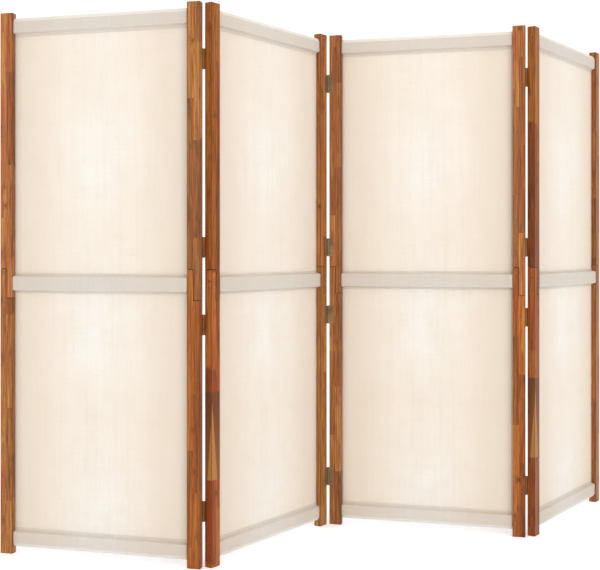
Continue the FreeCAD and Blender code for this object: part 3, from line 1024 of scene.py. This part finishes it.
class FOLDING_SCREEN_OT_hinges(bpy.types.Operator):
    """Finish the hinges and their screws"""

    bl_idname = "folding_screen.hinges"
    bl_label = "Finish hinges"

    def execute(self, context):
        metal = context.scene.folding_screen_metal
        bright, dull = tuple(metal.brass), tuple(metal.patina)
        leaf = metal_material("dulled_brass", bright, dull, 0.12)
        # The back hinges and their pins are a shaded copy of the brass, with painted shade and a painted
        # reflection of the wood
        shaded_brass_tones = [tuple(s * c for s, c in zip(BACK_HINGE_PAINTED_SHADE, tone)) for tone in (bright, dull)]
        shaded_leaf = metal_material("browned_brass", *shaded_brass_tones, 0.12)
        pin = metal_material("hinge_pin_brass", bright, dull, 0.2)
        screw = metal_material("hinge_screw_brass", tuple(0.8 * c for c in bright), dull, 0.16)
        for name, node in frame["nodes"].items():
            if "_leaves_" in name:
                cover(node, leaf if name.startswith("joint_2_3") else shaded_leaf)
            elif name.endswith("_pins"):
                cover(node, pin if name.startswith("joint_2_3") else shaded_leaf)
            elif "joint_" in name and "_screws_" in name:
                cover(node, screw)
        return {"FINISHED"}


class FOLDING_SCREEN_OT_stage(bpy.types.Operator):
    """Make the floor, the lights and the camera"""

    bl_idname = "folding_screen.stage"
    bl_label = "Make stage"

    def execute(self, context):
        settings = context.scene.folding_screen_studio
        scene = context.scene
        scene.view_settings.view_transform = "Standard"
        edge = np.linspace(-45, 45, 15)
        x, y = np.meshgrid(edge, edge)
        points = np.stack((x.ravel(), y.ravel(), np.full(x.size, -0.0005)), 1)
        floor = new_mesh("floor", points, grid_faces(15, 15))
        m = Material("studio_floor")
        haze = m.noise(m.add("ShaderNodeTexCoord", out=3), 2.0, 0.5, 0.8)
        base = tuple(settings.floor_colour)
        colour = m.mix(haze, base, tuple(0.985 * c for c in base))
        cover(floor, m.finish(m.surface(
            Base_Color=colour, Roughness=0.75, Specular_IOR_Level=0.2,
            Emission_Color=(1.0, 1.0, 1.0), Emission_Strength=0.24,
        )))

        world = scene.world or bpy.data.worlds.new("Studio")
        scene.world = world
        world.use_nodes = True
        nodes, links = world.node_tree.nodes, world.node_tree.links
        nodes.clear()
        seen, lit = nodes.new("ShaderNodeBackground"), nodes.new("ShaderNodeBackground")
        seen.inputs["Strength"].default_value = 1.05
        seen.inputs["Color"].default_value = (1.0, 1.0, 1.0, 1.0)
        lit.inputs["Color"].default_value = (1.0, 0.985, 0.965, 1.0)
        lit.inputs["Strength"].default_value = settings.ambient
        path, mix = nodes.new("ShaderNodeLightPath"), nodes.new("ShaderNodeMixShader")
        output = nodes.new("ShaderNodeOutputWorld")
        links.new(path.outputs["Is Camera Ray"], mix.inputs[0])
        links.new(lit.outputs[0], mix.inputs[1])
        links.new(seen.outputs[0], mix.inputs[2])
        links.new(mix.outputs[0], output.inputs["Surface"])

        lights = (
            ("key_light", (0.4, -5.2, 2.1), settings.key_power, 3.2, (1.0, 0.98, 0.95)),
            ("left_light", (-4.2, -3.6, 1.8), settings.left_power, 3.0, (1.0, 0.985, 0.96)),
            ("right_light", (4.4, -3.4, 1.5), settings.right_power, 3.0, (1.0, 0.985, 0.96)),
            ("top_light", (0.0, -0.6, 4.6), settings.top_power, 4.0, (1.0, 0.99, 0.97)),
        )
        target = np.array((0.0, 0.0, 0.9))
        for name, place, power, size, colour in lights:
            data = bpy.data.lights.new(name, "AREA")
            data.energy, data.size, data.color = power, size, colour
            lamp = bpy.data.objects.new(name, data)
            way = np.array(place) - target
            lamp.location = place
            lamp.rotation_euler = (
                math.acos(way[2] / np.linalg.norm(way)), 0.0, math.atan2(way[0], -way[1])
            )
            scene.collection.objects.link(lamp)

        data = bpy.data.cameras.new("camera")
        data.sensor_width = 36.0
        data.lens = settings.focal_length
        data.shift_x, data.shift_y = CAMERA_SHIFT
        camera = bpy.data.objects.new("camera", data)
        camera.location = CAMERA_PLACE
        camera.rotation_euler = (math.radians(90), 0.0, math.radians(CAMERA_TURN))
        scene.collection.objects.link(camera)
        scene.camera = camera
        return {"FINISHED"}


class FOLDING_SCREEN_PT_sidebar(bpy.types.Panel):
    """Settings and steps of the folding screen"""

    bl_idname = "FOLDING_SCREEN_PT_sidebar"
    bl_label = "Folding screen"
    bl_space_type = "VIEW_3D"
    bl_region_type = "UI"
    bl_category = "Folding screen"

    def draw(self, context):
        for title, group, steps in (
            ("Wood", context.scene.folding_screen_wood, ("posts", "rails")),
            ("Cloth", context.scene.folding_screen_cloth, ("sheets", "middle_sleeves")),
            ("Metal", context.scene.folding_screen_metal, ("hinges",)),
            ("Studio", context.scene.folding_screen_studio, ("stage",)),
        ):
            box = self.layout.box()
            box.label(text=title)
            for name in group.__annotations__:
                box.prop(group, name)
            for step in steps:
                box.operator(f"folding_screen.{step}")


GROUPS = {
    "folding_screen_wood": WoodSettings,
    "folding_screen_cloth": ClothSettings,
    "folding_screen_metal": MetalSettings,
    "folding_screen_studio": StudioSettings,
}
CLASSES = (
    *GROUPS.values(),
    FOLDING_SCREEN_OT_posts,
    FOLDING_SCREEN_OT_rails,
    FOLDING_SCREEN_OT_sheets,
    FOLDING_SCREEN_OT_middle_sleeves,
    FOLDING_SCREEN_OT_hinges,
    FOLDING_SCREEN_OT_stage,
    FOLDING_SCREEN_PT_sidebar,
)


def register():
    for item in CLASSES:
        bpy.utils.register_class(item)
    for name, group in GROUPS.items():
        setattr(bpy.types.Scene, name, PointerProperty(type=group))


def unregister():
    for name in GROUPS:
        delattr(bpy.types.Scene, name)
    for item in reversed(CLASSES):
        bpy.utils.unregister_class(item)


def main():
    register()
    bpy.ops.folding_screen.stage()
    bpy.ops.folding_screen.posts()
    bpy.ops.folding_screen.rails()
    bpy.ops.folding_screen.sheets()
    bpy.ops.folding_screen.middle_sleeves()
    bpy.ops.folding_screen.hinges()


if __name__ == "__main__":
    main()
